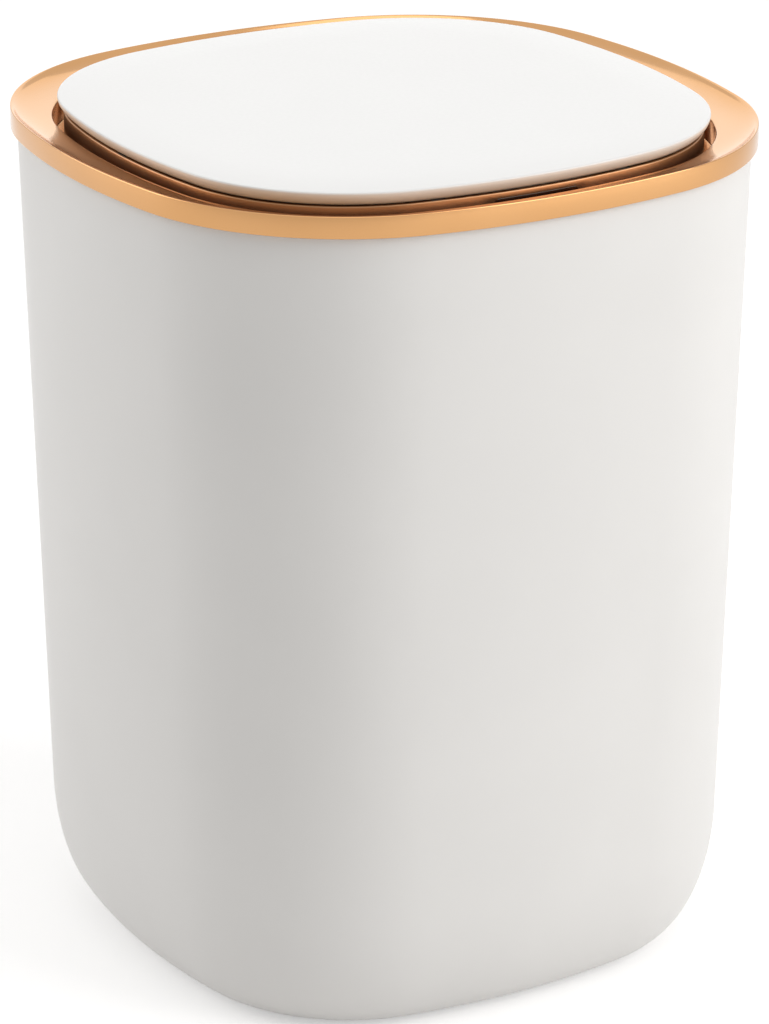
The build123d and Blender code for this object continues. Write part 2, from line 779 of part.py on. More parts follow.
def lid_gear():
    """Toothed sector on the hinge shaft, with a foot that bears on the lid's lower plate."""
    tip = lid_module * (lid_teeth / 2 + tooth_above)
    x0 = sector_x - sector_width / 2
    wheel = gear(lid_module, lid_teeth, lid_phase, hinge_centre, x0, sector_width)
    first = mesh_direction - sector_margin
    last = mesh_direction + lid_open + sector_margin
    far = 3 * tip
    wedge = Polygon((0, 0), *[(far * cos(radians(a)), far * sin(radians(a)))
                              for a in (first, (first + last) / 2, last)], align=None)
    sector = wheel & (Pos(x0, hinge_y, hinge_z) * extrude(Plane.YZ * wedge, sector_width))
    sector += rod_x(knuckle_radius, x0, x0 + sector_width, hinge_y, hinge_z)
    foot_top = lid_low
    sector += span(x0, x0 + sector_width, hinge_y - 16, hinge_y - 3.8, foot_top - 2.2, foot_top)
    sector += span(x0, x0 + sector_width, hinge_y - 4.2, hinge_y, hinge_z - knuckle_radius, hinge_z)
    sector += span(sector_x - 5, sector_x + 5, hinge_y - 16, hinge_y - 9, foot_top - 2.2, foot_top)
    return sector - rod_x(shaft_radius + press_gap, x0 - 1, x0 + sector_width + 1, hinge_y, hinge_z)


def sector_room():
    """Disc-shaped room that the toothed sector sweeps."""
    tip = lid_module * (lid_teeth / 2 + tooth_above) + 0.5
    half = sector_width / 2 + small_gap
    return rod_x(tip, sector_x - half, sector_x + half, hinge_y, hinge_z)


def sector_slot():
    """Slot for the sector in the deck, the frame and the rim's groove."""
    return sector_room() & span(0, ring_half, hinge_y - 20, opening_half - 0.2, hinge_z - 20, groove_z + 1)


def axle_bore(centre):
    return rod_x(axle_radius + running_gap, case_x0 - 5, cover_x1 + 5, centre[0], centre[1])


def output_gear():
    """Compound gear that drives the lid's sector."""
    pinion = gear(lid_module, output_teeth, output_phase, output_centre, output_x, output_width)
    wheel = gear(small_module, output_wheel_teeth, output_phase, output_centre, first_plane, wheel_width)
    hub = rod_x(3.2, output_x + output_width - 0.1, first_plane + 0.1, *output_centre)
    return pinion + wheel + hub - axle_bore(output_centre)


def middle_gear():
    """Compound gear between the motor and the output gear."""
    pinion = gear(small_module, middle_pinion_teeth, middle_phase, middle_centre, first_plane - 0.2,
                  wheel_width + wheel_gap + 0.3)
    wheel = gear(small_module, middle_wheel_teeth, middle_phase, middle_centre, second_plane, wheel_width)
    return pinion + wheel - axle_bore(middle_centre)


def motor_pinion():
    """Pinion on the motor's own shaft."""
    pinion = gear(small_module, motor_teeth, motor_phase, motor_centre, second_plane - 0.2, wheel_width + 0.4)
    return pinion + rod_x(motor_shaft_radius, second_plane, cover_x1 + 6, *motor_centre)


def gear_axles():
    """Two steel pins that the compound gears turn on."""
    return Compound([rod_x(axle_radius, case_x0 + 0.4, cover_x1 - 0.4, y, z)
                     for y, z in (output_centre, middle_centre)])


def case_outline(grow):
    middle = ((case_y0 + case_y1) / 2, (case_z0 + case_z1) / 2)
    shape = RectangleRounded(case_y1 - case_y0 + 2 * grow, case_z1 - case_z0 + 2 * grow, case_corner + grow)
    return Pos(*middle) * shape


def case_screw_places():
    """Corners of the gearbox that its gears leave free."""
    low, high = case_z0 + case_screw_inset, case_z1 - case_screw_inset
    near = case_y0 + case_screw_inset
    return [(near, high), (near + case_screw_pitch, high), (case_y1 - case_screw_inset, low)]


def gearbox_case():
    """Half of the gearbox, with bosses for the axles and a mouth for the lid's sector."""
    outer = Pos(case_x0, 0, 0) * extrude(Plane.YZ * case_outline(0), case_x1 - case_x0)
    room = Pos(case_x0 + case_wall, 0, 0) * extrude(Plane.YZ * case_outline(-case_wall), case_x1 - case_x0)
    case = outer - room
    for y, z in case_screw_places():
        case += rod_x(2.0, case_x0 + 0.4, case_x1, y, z)
        case -= rod_x(case_screw_radius + press_gap, case_x1 - case_screw_length - 1, case_x1 + 1, y, z)
    for centre in (output_centre, middle_centre):
        case -= rod_x(axle_radius + press_gap, case_x0 + 0.4, case_x0 + 3, *centre)
    return case - sector_room()


def gearbox_cover():
    """Lid of the gearbox, which also carries the motor."""
    cover = Pos(case_x1, 0, 0) * extrude(Plane.YZ * case_outline(0), case_wall)
    for y, z in case_screw_places():
        cover -= rod_x(case_screw_radius + press_gap, case_x1 - 1, cover_x1 + 1, y, z)
    for centre in (output_centre, middle_centre):
        cover -= rod_x(axle_radius + press_gap, case_x1 - 1, cover_x1 - 0.4, *centre)
    return cover - rod_x(2.4, case_x1 - 1, cover_x1 + 1, *motor_centre)


def gearbox_screws():
    """Screws that close the gearbox."""
    screws = []
    for y, z in case_screw_places():
        screw = rod_x(2 * case_screw_radius, cover_x1, cover_x1 + case_screw_head, y, z)
        screws.append(screw + rod_x(case_screw_radius, case_x1 - case_screw_length, cover_x1, y, z))
    return Compound(screws)


def gearbox_posts():
    """Posts of the tub that the gearbox stands on."""
    low = tub_floor_z + tub_wall / 2
    post = span(case_x0 + 1, cover_x1 - 1, case_y0 + 6, case_y0 + 9, low, case_z0)
    return post + span(case_x0 + 1, cover_x1 - 1, case_y1 - 9, case_y1 - 6, low, case_z0)


def drive_motor():
    """Small direct-current motor with its nose in the gearbox cover and two solder tabs."""
    y, z = motor_centre
    x0 = cover_x1
    can = rod_x(motor_radius, x0, x0 + motor_length, y, z)
    can = chamfer(can.edges().sort_by(Axis.X)[-1], 0.8)
    can += rod_x(2.3, case_x1 + 0.2, x0 + 0.2, y, z)
    end = x0 + motor_length
    for side in (-1, 1):
        can += span(end - 0.2, end + 2.2, y + side * 3 - 0.8, y + side * 3 + 0.8, z - 0.3, z + 0.3)
    return can - rod_x(motor_shaft_radius + running_gap, case_x1, x0 + 7, y, z)


def bay_x0():
    return bay_right_x - 2 * (bay_wall + contact_thickness + cell_end_gap) - cell_length


def hatch_shape(grow, low, high):
    """Rectangle of the battery hatch with rounded corners."""
    width = bay_right_x - bay_x0() - 2 * bay_wall - 2 * seat_gap
    depth = cell_pitch + 2 * cell_radius + 0.6
    shape = RectangleRounded(width + 2 * grow, depth + 2 * grow, 2)
    middle = ((bay_x0() + bay_right_x) / 2, bay_middle_y)
    return Pos(*middle, low) * extrude(shape, high - low)


def bay_walls():
    """End walls of the battery bay, up from the tub's floor."""
    low, high = tub_floor_z + tub_wall / 2, tub_floor_z + tub_wall + 2 * cell_radius + 1
    half = cell_pitch / 2 + cell_radius
    walls = Part()
    for x in (bay_x0(), bay_right_x - bay_wall):
        walls += span(x, x + bay_wall, bay_middle_y - half, bay_middle_y + half, low, high)
    return walls


def cell_centres():
    z = tub_floor_z + hatch_thickness + small_gap + cell_radius
    return [(bay_middle_y - cell_pitch / 2, z), (bay_middle_y + cell_pitch / 2, z)]


def battery_cell(y, z, sign):
    """One dry cell along X, its button towards the given side."""
    end = cell_length / 2
    can = rod_x(cell_radius, -end, end, 0, 0)
    can = chamfer(can.edges().filter_by(GeomType.CIRCLE), 0.5)
    can -= rod_x(cell_radius - 1.2, end - 0.6, end + 1, 0, 0)
    can += rod_x(2.6, end - 1, end + button_height, 0, 0)
    turn = 0 if sign > 0 else 180
    return Pos((bay_x0() + bay_right_x) / 2, y, z) * Rot(0, 0, turn) * can


def battery_cells():
    """Two dry cells side by side, pointing opposite ways."""
    return Compound([battery_cell(y, z, sign) for (y, z), sign in zip(cell_centres(), (-1, 1))])


def battery_contacts():
    """Sprung contact plates at the ends of the bay."""
    plates = []
    for x in (bay_x0() + bay_wall, bay_right_x - bay_wall - contact_thickness):
        for y, z in cell_centres():
            plates.append(span(x, x + contact_thickness, y - contact_half, y + contact_half,
                               z - contact_half, z + contact_half))
    return Compound(plates)


def battery_hatch():
    """Hatch under the tub that comes away downwards to change the cells."""
    hatch = hatch_shape(0, tub_floor_z, tub_floor_z + hatch_thickness)
    middle = (bay_x0() + bay_right_x) / 2
    for x in range(-2, 3):
        hatch -= span(middle + 3 * x - 0.6, middle + 3 * x + 0.6, bay_middle_y - 14, bay_middle_y - 6,
                      tub_floor_z, tub_floor_z + 0.6)
    return hatch


def board_post_places():
    left, right = board_x[0] + board_post_inset, board_x[1] - board_post_inset
    front, rear = board_y[0] + board_post_inset, board_y[1] - board_post_inset
    return [(left, front), (right, front), (left, rear)]


def board_posts():
    posts = Part()
    top = rim_height - board_drop
    for x, y in board_post_places():
        post = rod_z(board_post_radius, tub_floor_z + tub_wall / 2, top, x, y)
        posts += post - rod_z(board_screw_radius + press_gap, top - board_screw_length - 1, top, x, y)
    return posts


def control_board():
    """Circuit board of the drive, screwed to its posts."""
    z = rim_height - board_drop
    board = span(board_x[0], board_x[1], board_y[0], board_y[1], z, z + board_thickness)
    for x, y in board_post_places():
        board -= rod_z(board_screw_radius + press_gap, z, z + board_thickness, x, y)
    return board


def board_screws():
    z = rim_height - board_drop + board_thickness
    low = z - board_thickness - board_screw_length
    return Compound([rod_z(2 * board_screw_radius, z, z + case_screw_head, x, y)
                     + rod_z(board_screw_radius, low, z, x, y) for x, y in board_post_places()])


def board_components():
    """Controller chip, driver chip and motor socket, a capacitor and the socket of the sensor's lead."""
    z = rim_height - board_drop + board_thickness
    x0, y0 = board_x[0], board_y[0]
    parts = [span(x0 + x, x0 + x + length, y0 + y, y0 + y + depth, z, z + height)
             for x, y, length, depth, height in board_blocks]
    x, y = capacitor_place
    parts.append(rod_z(capacitor_radius, z, z + capacitor_height, x0 + x, y0 + y))
    x1, y1 = board_x[1] - small_gap, board_y[1] - small_gap
    socket_top = rim_height - cover_bottom_drop + cover_wall
    parts.append(span(x1 - lead_socket, x1, y1 - lead_socket, y1, z, socket_top))
    return Compound(parts)


def switch_body():
    """Slide switch hung under the deck."""
    half = (knob_length + switch_travel) / 2 + 2.2
    middle = switch_x + switch_travel / 2
    body = span(middle - half, middle + half, switch_y - 3, switch_y + 3, gold_floor_z - 5, gold_floor_z)
    slot = (knob_length + switch_travel) / 2 + small_gap
    return body - span(middle - slot, middle + slot, switch_y - knob_width / 2 - small_gap,
                       switch_y + knob_width / 2 + small_gap, gold_floor_z - 2.2, gold_floor_z)


def switch_knob():
    """Ridged slider of the power switch."""
    top = groove_z + knob_stand
    knob = span(switch_x - knob_length / 2, switch_x + knob_length / 2, switch_y - knob_width / 2,
                switch_y + knob_width / 2, gold_floor_z - 1.9, top)
    for k in (-1, 0, 1):
        knob -= span(switch_x + 1.3 * k - 0.25, switch_x + 1.3 * k + 0.25, switch_y - knob_width,
                     switch_y + knob_width, top - 0.5, top)
    return knob


pieces = {
    "bucket": bucket,
    "foot_pads": foot_pads,
    "bag_ring": bag_ring,
    "gold_rim": gold_rim,
    "inner_frame": inner_frame,
    "rim_screws": rim_screws,
    "housing_deck": housing_deck,
    "deck_screws": deck_screws,
    "hinge_bushes": hinge_bushes,
    "lid_bumpers": lid_bumpers,
    "sensor_window": sensor_window,
    "sensor_cover": sensor_cover,
    "sensor_board": sensor_board,
    "infrared_emitter": lambda: diode(-diode_x),
    "infrared_receiver": lambda: diode(diode_x),
    "status_lamp": lambda: diode(0),
    "sensor_lead": sensor_lead,
    "gearbox_case": gearbox_case,
    "gearbox_cover": gearbox_cover,
    "gearbox_screws": gearbox_screws,
    "gear_axles": gear_axles,
    "drive_motor": drive_motor,
    "control_board": control_board,
    "board_components": board_components,
    "board_screws": board_screws,
    "battery_cells": battery_cells,
    "battery_contacts": battery_contacts,
    "battery_hatch": battery_hatch,
    "switch_body": switch_body,
    "switch_knob": switch_knob,
    "lid_top": lid_top,
    "lid_underside": lid_underside,
    "lid_screws": lid_screws,
    "hinge_shaft": hinge_shaft,
    "lid_gear": lid_gear,
    "output_gear": output_gear,
    "middle_gear": middle_gear,
    "motor_pinion": motor_pinion,
}

for name, make in pieces.items():
    export_step(make(), f"parts/{name}.step")
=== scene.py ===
# %% [markdown]
# # Sensor trash can
# The bin stands on a pale floor: a white moulded bucket with bowed sides, a gold-plated rim with a
# dished top, a white lid that floats in the rim's opening, and a dark sensor window under the lid's
# front edge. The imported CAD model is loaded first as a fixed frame. Every piece modelled here lies
# where that frame says. Blender works in metres, and the sizes below are in millimetres, times MM.

# %% Load the frame
import bpy
import json
import math
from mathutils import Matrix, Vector
from mathutils.geometry import interpolate_bezier


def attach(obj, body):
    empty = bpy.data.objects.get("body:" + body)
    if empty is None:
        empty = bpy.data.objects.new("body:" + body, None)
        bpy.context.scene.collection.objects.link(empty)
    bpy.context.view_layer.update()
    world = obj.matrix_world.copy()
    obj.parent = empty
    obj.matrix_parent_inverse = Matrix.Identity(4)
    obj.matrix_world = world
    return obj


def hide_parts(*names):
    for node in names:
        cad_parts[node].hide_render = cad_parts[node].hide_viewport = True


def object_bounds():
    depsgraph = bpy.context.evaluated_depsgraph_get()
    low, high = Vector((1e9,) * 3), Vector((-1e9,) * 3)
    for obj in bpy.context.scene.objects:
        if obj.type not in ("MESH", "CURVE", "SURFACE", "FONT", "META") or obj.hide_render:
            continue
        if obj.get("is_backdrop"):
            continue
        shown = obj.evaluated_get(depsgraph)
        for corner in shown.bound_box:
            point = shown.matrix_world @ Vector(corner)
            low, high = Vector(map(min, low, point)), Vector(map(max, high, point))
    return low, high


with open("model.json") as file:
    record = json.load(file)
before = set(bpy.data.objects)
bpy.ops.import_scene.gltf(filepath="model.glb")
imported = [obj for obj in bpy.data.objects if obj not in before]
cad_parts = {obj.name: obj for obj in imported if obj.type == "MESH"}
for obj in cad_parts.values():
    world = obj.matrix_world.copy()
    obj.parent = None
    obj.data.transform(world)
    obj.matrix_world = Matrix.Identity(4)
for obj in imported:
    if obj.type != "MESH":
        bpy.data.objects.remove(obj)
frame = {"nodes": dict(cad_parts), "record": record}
cad_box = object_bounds()
MM = 0.001
print("CAD box in mm:", [round(v / MM, 1) for corner in cad_box for v in corner])

# %% [markdown]
# ## The camera
# The photograph looks at the left front corner of the bin from a little above, through a long lens.
# The camera's angles and distance were fitted to the rim's outline. The lens shift is the small
# amount that puts the bin where the photograph has it, which is cut closer at the bottom than at
# the top.

# %% Camera at the photograph's viewing angle
CAMERA_AZIMUTH = math.radians(-30.14)
CAMERA_ELEVATION = math.radians(20.96)
LOOK_AT = Vector((0, 0, 138.8 * MM))
DISTANCE = 1617 * MM
LENS, SENSOR_WIDTH = 161.63, 36
SHIFT_X, SHIFT_Y = 0.0026, 0.0289
CLIP_NEAR, CLIP_FAR = 0.05, 50


def deselect_all():
    if bpy.context.mode != "OBJECT":
        bpy.ops.object.mode_set(mode="OBJECT")
    bpy.ops.object.select_all(action="DESELECT")


def bearing(azimuth, elevation):
    """The way from the bin to something that stands at that azimuth from its front and that height."""
    level = math.cos(elevation)
    return Vector((math.sin(azimuth) * level, -math.cos(azimuth) * level, math.sin(elevation)))


deselect_all()
bpy.ops.object.camera_add()
camera = bpy.context.active_object
camera.name = "camera"
back = bearing(CAMERA_AZIMUTH, CAMERA_ELEVATION)
camera.location = LOOK_AT + back * DISTANCE
camera.rotation_euler = (-back).to_track_quat("-Z", "Y").to_euler()
camera.data.lens = LENS
camera.data.sensor_width = SENSOR_WIDTH
camera.data.shift_x = SHIFT_X
camera.data.shift_y = SHIFT_Y
camera.data.clip_start = CLIP_NEAR
camera.data.clip_end = CLIP_FAR
bpy.context.scene.camera = camera
print("camera at", [round(v, 3) for v in camera.location])

# %% [markdown]
# ## Drawing sections
# Each ring starts as one point of its cross-section. The section is drawn by extruding that point,
# and then it is spun round the bin's outline, arc after arc, as a lathe would do if it could change
# its centre. Spun work gives even quads that follow the curves, so polished metal shows clean
# reflections.

# %% Draw a section and round its corners
ROUND_HANDLE = 0.55  # how far a rounded corner's handles reach towards the sharp corner


def draw_section(name, points):
    """A line of edges through (half width, height) points in mm, extruded from a single point."""
    deselect_all()
    half, height = points[0]
    bpy.ops.mesh.primitive_plane_add(size=MM, location=(half * MM, 0, height * MM))
    piece = bpy.context.active_object
    piece.name = name
    bpy.ops.object.transform_apply(location=True)
    bpy.ops.object.mode_set(mode="EDIT")
    bpy.ops.mesh.select_mode(type="VERT")
    bpy.ops.mesh.select_all(action="SELECT")
    bpy.ops.mesh.merge(type="CENTER")
    for here, there in zip(points, points[1:]):
        run = ((there[0] - here[0]) * MM, 0, (there[1] - here[1]) * MM)
        bpy.ops.mesh.extrude_region_move(TRANSFORM_OT_translate={"value": run})
    return piece


def curved(start, handle_a, handle_b, end, steps):
    """Points of a Bezier curve between two section points."""
    ends = [Vector((half, 0, height)) for half, height in (start, handle_a, handle_b, end)]
    return [(point.x, point.z) for point in interpolate_bezier(*ends, steps + 1)]


def rounded(before, corner, after, size, steps=4):
    """A corner of the section rounded off, starting that size away from it."""
    corner, before, after = Vector(corner), Vector(before), Vector(after)
    start = corner + (before - corner).normalized() * size
    end = corner + (after - corner).normalized() * size
    handles = start.lerp(corner, ROUND_HANDLE), end.lerp(corner, ROUND_HANDLE)
    return curved(start, *handles, end, steps)


print("section helpers ready")

# %% [markdown]
# ## The bin's outline
# All rings and plates share one plan: four bowed sides joined by four large corner arcs. The sides'
# centres lie on the far side of the middle, and the corners' centres lie on the diagonals. With the
# half width and the two radii known, the rest follows from where the arcs are tangent.

# %% Spin a section round the outline
OUTLINE_HALF = 118.0
SIDE_RADIUS = 264.0
CORNER_RADIUS = 83.0
SIDE_CENTRE = SIDE_RADIUS - OUTLINE_HALF
REACH = SIDE_RADIUS - CORNER_RADIUS
CORNER_CENTRE = (math.sqrt(2 * REACH ** 2 - SIDE_CENTRE ** 2) - SIDE_CENTRE) / 2
SIDE_TURN = math.atan2(CORNER_CENTRE, CORNER_CENTRE + SIDE_CENTRE)
CORNER_TURN = math.pi / 2 - 2 * SIDE_TURN
SIDE_STEPS = 12
CORNER_STEPS = 24
WELD = 0.004 * MM
# in the order of the spin: the corner's quarter, then which way the next side's centre lies
QUARTERS = [(1, 1, 0, -1), (-1, 1, 1, 0), (-1, -1, 0, 1), (1, -1, -1, 0)]


def spin_once(x, y, angle, steps):
    # with no window the operator turns clockwise about +Z, so the axis points down
    bpy.ops.mesh.spin(steps=steps, angle=angle, center=(x * MM, y * MM, 0), axis=(0, 0, -1))


def spin_round():
    """Carries the selected section once round the outline, from the middle of one side to itself."""
    bpy.ops.mesh.select_all(action="SELECT")
    spin_once(-SIDE_CENTRE, 0, SIDE_TURN, SIDE_STEPS // 2)
    for corner_x, corner_y, side_x, side_y in QUARTERS:
        spin_once(corner_x * CORNER_CENTRE, corner_y * CORNER_CENTRE, CORNER_TURN, CORNER_STEPS)
        share = 0.5 if (side_x, side_y) == (-1, 0) else 1
        turn, steps = 2 * SIDE_TURN * share, round(SIDE_STEPS * share)
        spin_once(side_x * SIDE_CENTRE, side_y * SIDE_CENTRE, turn, steps)
    bpy.ops.mesh.select_all(action="SELECT")
    bpy.ops.mesh.remove_doubles(threshold=WELD)


print("corner centres at", round(CORNER_CENTRE, 2), "mm")
print("each side turns", round(math.degrees(2 * SIDE_TURN), 2), "degrees")

# %% [markdown]
# ## Closing and finishing a piece
# A spun section that doesn't meet the middle leaves two open rings. They are closed flat. Normals
# are then recalculated, because spinning may leave the faces inside out. Shading is smooth up to an
# angle, which keeps the small rounded edges bright and the flats flat, as on a real moulding.

# %% Close rings, recalculate, shade
def close_rings(piece):
    """Closes each open ring with one flat face, lowest ring first."""
    bpy.ops.mesh.select_all(action="DESELECT")
    bpy.ops.mesh.select_mode(type="EDGE")
    bpy.ops.mesh.select_non_manifold()
    bpy.ops.object.mode_set(mode="OBJECT")
    mesh = piece.data
    rings = {}
    for edge in mesh.edges:
        if edge.select:
            height = round(mesh.vertices[edge.vertices[0]].co.z / MM, 1)
            rings.setdefault(height, set()).add(edge.index)
    for height, ring in sorted(rings.items()):
        bpy.ops.object.mode_set(mode="EDIT")
        bpy.ops.mesh.select_all(action="DESELECT")
        bpy.ops.object.mode_set(mode="OBJECT")
        for edge in mesh.edges:
            edge.select = edge.index in ring
        bpy.ops.object.mode_set(mode="EDIT")
        bpy.ops.mesh.edge_face_add()
        print("closed the ring at", height, "mm with", len(ring), "edges")


def face_outwards():
    bpy.ops.mesh.select_all(action="SELECT")
    bpy.ops.mesh.normals_make_consistent(inside=False)


def finish_piece(piece, angle):
    """Leaves edit mode with the object at the origin and smooth shading up to that angle."""
    deselect_all()
    piece.select_set(True)
    bpy.context.view_layer.objects.active = piece
    bpy.ops.object.transform_apply(location=True, rotation=True, scale=True)
    bpy.ops.object.shade_smooth_by_angle(angle=math.radians(angle))
    print(piece.name, len(piece.data.polygons), "faces")
    return piece


print("finishing helpers ready")

# %% [markdown]
# ## Bucket
# On the real bin the bucket is one injection moulding of polypropylene, open at the top, with walls
# that lean in by a few millimetres so that it leaves its mould, and one large curve into the base.
# It could be sculpted from a box, but one section spun round the outline gives the bowed faces and
# the changing corners in one go. The top edge hides in the gold band. The section starts at the
# shallow recess under the base and ends on the floor inside, and both are closed at the end.

# %% Bucket shell
BODY_HALF, BUCKET_TOP = 115.8, 290.5
LEAN_HALF, CURVE_TOP = 109.5, 46.3
BASE_HALF, BASE_Z = 86.9, 1.0
WALL, FLOOR_TOP = 2.4, 4.0
RECESS_HALF, RECESS_IN, RECESS_Z = 62.0, 56.0, 2.0
FLOOR_IN = 74.9
FULLNESS = 0.552  # handle length of a curve that is close to a quarter of an ellipse
FOOT_ROUND, EDGE_ROUND = 0.4, 0.6
OUTER_STEPS, INNER_STEPS, WALL_STEPS = 24, 16, 8

lean = Vector((LEAN_HALF - BODY_HALF, CURVE_TOP - BUCKET_TOP)).normalized()
outer_end, outer_foot = Vector((LEAN_HALF, CURVE_TOP)), Vector((BASE_HALF, BASE_Z))
inner_end, inner_foot = Vector((LEAN_HALF - WALL, CURVE_TOP)), Vector((BASE_HALF, FLOOR_TOP))


def base_handles(end, foot):
    """Handles of the large curve: down from the wall's end, and out from the foot."""
    down = end + lean * FULLNESS * (end.y - foot.y)
    out = foot + Vector((FULLNESS * (end.x - foot.x), 0))
    return down, out


outer_down, outer_out = base_handles(outer_end, outer_foot)
inner_down, inner_out = base_handles(inner_end, inner_foot)
outer_top, inner_top = (BODY_HALF, BUCKET_TOP), (BODY_HALF - WALL, BUCKET_TOP)
recess_in, recess_top, recess_foot = (RECESS_IN, RECESS_Z), (RECESS_HALF, RECESS_Z), (RECESS_HALF, BASE_Z)
walls = [outer_end.lerp(Vector(outer_top), k / WALL_STEPS) for k in range(1, WALL_STEPS)]

bucket_line = [recess_in]
bucket_line += rounded(recess_in, recess_top, recess_foot, FOOT_ROUND)
bucket_line += rounded(recess_top, recess_foot, outer_foot, FOOT_ROUND)
bucket_line += curved(outer_foot, outer_out, outer_down, outer_end, OUTER_STEPS)
bucket_line += [tuple(point) for point in walls]
bucket_line += rounded(outer_end, outer_top, inner_top, EDGE_ROUND)
bucket_line += rounded(outer_top, inner_top, inner_end, EDGE_ROUND)
bucket_line += curved(inner_end, inner_down, inner_out, inner_foot, INNER_STEPS)
bucket_line += [(FLOOR_IN, FLOOR_TOP)]

bucket = draw_section("bucket_shell", bucket_line)
spin_round()
close_rings(bucket)
face_outwards()
finish_piece(bucket, 40)
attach(bucket, "bucket_body")
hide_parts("bucket")

# %% [markdown]
# ## Gold rim
# The rim is one plated moulding: an upright band outside, a top that dishes down to a round lip, a
# narrow groove, and the collar inside it, where the lid comes down. Plating shows every wobble of
# the surface, so the dish is one smooth curve with many steps and its edges are small rounds. The
# band and groove go all the way round and are spun here as one closed section.

# %% Rim band, dish, lip and groove
RIM_Z = 296.5
BAND_HALF = cad_box[1].x / MM - 0.01
BAND_FOOT = RIM_Z - 7.5
LIP_HALF = 103.7
GROOVE_Z = RIM_Z - 12.7
PLATE_WALL = 1.8
UNDER_Z = GROOVE_Z - PLATE_WALL
COLLAR_OUT, COLLAR_IN = 99.8, 98.0
LIP_ROUND, BRIM_ROUND, HEM_ROUND, GROOVE_ROUND = 0.66, 0.5, 0.3, 0.5
RIM_SMOOTH = 50


def dish(depth, steps):
    """The dished top, from its inner end outwards: nearly flat, then turning up to the band."""
    inner = Vector((LIP_HALF + 0.7, RIM_Z - 3.9 - depth))
    outer = Vector((OUTLINE_HALF - 0.5, RIM_Z - depth))
    return curved(inner, inner + Vector((5.1, 0.3)), outer - Vector((2.2, 2.9)), outer, steps)


top = dish(0, 16)
lip_back, band_back = LIP_HALF + PLATE_WALL, BAND_HALF - PLATE_WALL
under = [point for point in dish(PLATE_WALL, 8) if lip_back + 0.1 < point[0] < band_back - 0.1]
groove_foot, lip_edge = (LIP_HALF, GROOVE_Z), (LIP_HALF, RIM_Z - 3.95)
brim_edge, hem_edge, hem_in = (BAND_HALF, RIM_Z + 0.05), (BAND_HALF, BAND_FOOT), (band_back, BAND_FOOT)

rim_line = rounded(groove_foot, lip_edge, top[0], LIP_ROUND, 6)
rim_line += top[1:-1]
rim_line += rounded(top[-2], brim_edge, hem_edge, BRIM_ROUND, 5)
rim_line += rounded(brim_edge, hem_edge, hem_in, HEM_ROUND)
rim_line += [hem_in, (band_back, under[-1][1])] + under[::-1]
rim_line += [(lip_back, under[0][1]), (lip_back, UNDER_Z)]
rim_line += [(COLLAR_IN, UNDER_Z), (COLLAR_IN, GROOVE_Z)]
rim_line += rounded((COLLAR_IN, GROOVE_Z), groove_foot, lip_edge, GROOVE_ROUND)
rim_line += [rim_line[0]]

rim = draw_section("gold_rim_ring", rim_line)
spin_round()
face_outwards()
finish_piece(rim, RIM_SMOOTH)
print("rim half width", round(BAND_HALF, 2), "mm")

# %% [markdown]
# ## Hoops, slots and cuts
# The rest of the rim stops in front of the hinge. Such a hoop is spun all the way round and cut off
# with a bisect, which also caps its ends. A long round-ended hole needs a cutter of that shape: a
# cylinder whose one half is moved aside. It is taken out with a boolean.

# %% Helpers for cut hoops and round-ended slots
WINDOW_X, WINDOW_Z = 0.0, RIM_Z - 6.0
CUTTER_FRONT, CUTTER_BACK = -105, -92


def spun_band(name, corners, keep_below):
    """A closed hoop through the corners, kept only where y is below the given value in mm."""
    band = draw_section(name, corners + [corners[0]])
    spin_round()
    face_outwards()
    bpy.ops.mesh.select_all(action="SELECT")
    bpy.ops.mesh.bisect(plane_co=(0, keep_below * MM, 0), plane_no=(0, 1, 0), use_fill=True,
                        clear_outer=True)
    return finish_piece(band, RIM_SMOOTH)


def slot_prism(length, height):
    """A round-ended prism through the front of the rim, at the window's place."""
    straight = length - height
    left_end = WINDOW_X - straight / 2
    middle_y = (CUTTER_FRONT + CUTTER_BACK) / 2
    deselect_all()
    bpy.ops.mesh.primitive_cylinder_add(vertices=48, radius=height / 2 * MM,
                                        depth=(CUTTER_BACK - CUTTER_FRONT) * MM,
                                        location=(left_end * MM, middle_y * MM, WINDOW_Z * MM),
                                        rotation=(math.pi / 2, 0, 0))
    prism = bpy.context.active_object
    bpy.ops.object.transform_apply(location=True, rotation=True)
    bpy.ops.object.mode_set(mode="EDIT")
    bpy.ops.mesh.select_mode(type="VERT")
    bpy.ops.mesh.select_all(action="DESELECT")
    bpy.ops.object.mode_set(mode="OBJECT")
    for vertex in prism.data.vertices:
        vertex.select = vertex.co.x > (left_end - 0.01) * MM
    bpy.ops.object.mode_set(mode="EDIT")
    bpy.ops.transform.translate(value=(straight * MM, 0, 0))
    bpy.ops.object.mode_set(mode="OBJECT")
    return prism


def carve(piece, tool, operation="DIFFERENCE"):
    """Applies a boolean and removes the tool."""
    deselect_all()
    piece.select_set(True)
    bpy.context.view_layer.objects.active = piece
    cut = piece.modifiers.new("cut", "BOOLEAN")
    cut.object = tool
    cut.operation = operation
    cut.solver = "EXACT"
    bpy.ops.object.modifier_apply(modifier="cut")
    bpy.data.objects.remove(tool)


print("cutters reach from y", CUTTER_FRONT, "to", CUTTER_BACK, "mm")

# %% [markdown]
# ## Collar and lower lip
# The collar is the low wall inside the groove. Its top edge has small rounds that catch a thin line
# of light, and the window's long hole goes through its front. Below the groove's floor it goes on
# as a lower lip, which stops further forward, because the drive's housing stands there.

# %% Collar and its window hole
WINDOW_LENGTH, WINDOW_HEIGHT = 32.0, 3.6
WINDOW_SEAM = 0.06
COLLAR_TOP, COLLAR_ROUND = RIM_Z - 2.2, 0.45
OVERLAP = 0.3  # how far the collar and the lower lip reach into the groove's floor
LIP_FOOT = RIM_Z - 19
HINGE_Y = 92.0
COLLAR_END, LIP_END = HINGE_Y - 8, HINGE_Y - 35.4

